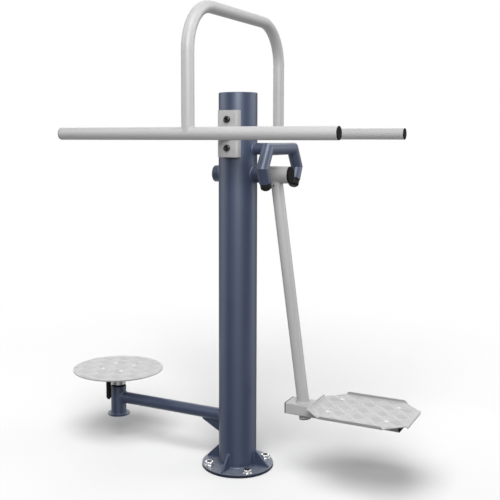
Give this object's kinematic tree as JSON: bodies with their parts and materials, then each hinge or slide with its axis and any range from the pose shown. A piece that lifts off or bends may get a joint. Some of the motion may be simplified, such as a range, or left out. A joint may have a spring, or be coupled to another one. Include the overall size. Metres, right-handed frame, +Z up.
{
  "type": "outdoor twister and surfer",
  "caption": "Outdoor fitness post with a round turning disc on a low side arm, a swinging footboard on a leaning arm, and straight grip bars joined by an arch.",
  "frame": {"origin": "on the post's axis, at the underside of the base flange", "axes": "+Z up the post, +X towards the swinging footboard and along the grip bars, -Y towards the viewer of the picture"},
  "size_m": [1.374, 0.7564, 1.6691],
  "materials": {
    "blue_paint": "satin",
    "silver_paint": "satin",
    "tread_plate": "matte",
    "black_plastic": "matte",
    "black_rubber": "matte",
    "black_steel": "satin",
    "bright_chrome": "polished",
    "stainless": "satin",
    "plain_steel": "satin"
  },
  "bodies": {
    "frame": {"base_flange": "blue_paint", "base_gussets": "blue_paint", "anchor_nuts": "bright_chrome", "post_tube": "blue_paint", "post_cap": "blue_paint", "front_saddle": "silver_paint", "rear_saddle": "silver_paint", "saddle_bolts": "black_steel", "saddle_nuts": "black_steel", "front_standoff": "silver_paint", "rear_standoff": "silver_paint", "front_bar": "silver_paint", "rear_bar": "silver_paint", "bar_end_plugs": "black_plastic", "arch_tube": "silver_paint", "pivot_tube": "blue_paint", "pivot_end_cap": "blue_paint", "pivot_shaft": "plain_steel", "shaft_nut": "plain_steel", "yoke_stub": "blue_paint", "yoke_frame": "blue_paint", "bump_stops": "black_rubber", "twister_arm": "blue_paint", "arm_gusset": "blue_paint", "twister_hub": "blue_paint", "twister_foot": "blue_paint", "twister_bushes": "black_plastic"},
    "pendulum": {"swing_hub": "silver_paint", "swing_bushes": "black_plastic", "hub_plug": "black_plastic", "swing_arm": "silver_paint", "arm_end_plug": "black_plastic", "footboard_beam": "silver_paint", "beam_end_plugs": "black_plastic", "footboard_lugs": "silver_paint", "footboard": "tread_plate", "footboard_bolts": "stainless", "footboard_nuts": "stainless"},
    "twister": {"spindle": "plain_steel", "spindle_nut": "plain_steel", "disc_flange": "plain_steel", "twister_disc": "tread_plate", "disc_bolts": "stainless", "disc_nuts": "stainless", "stop_pin": "black_steel", "stop_sleeve": "black_rubber"}
  },
  "joints": [
    {"name": "surfer_swing", "type": "hinge", "parent": "frame", "child": "pendulum", "pos_m": [0.15, 0, 1.084], "axis": [1, 0, 0], "range_deg": [-57, 57]},
    {"name": "twister_turn", "type": "hinge", "parent": "frame", "child": "twister", "pos_m": [-0.536, 0, 0.18], "axis": [0, 0, 1], "range_deg": [-135, 135]}
  ]
}
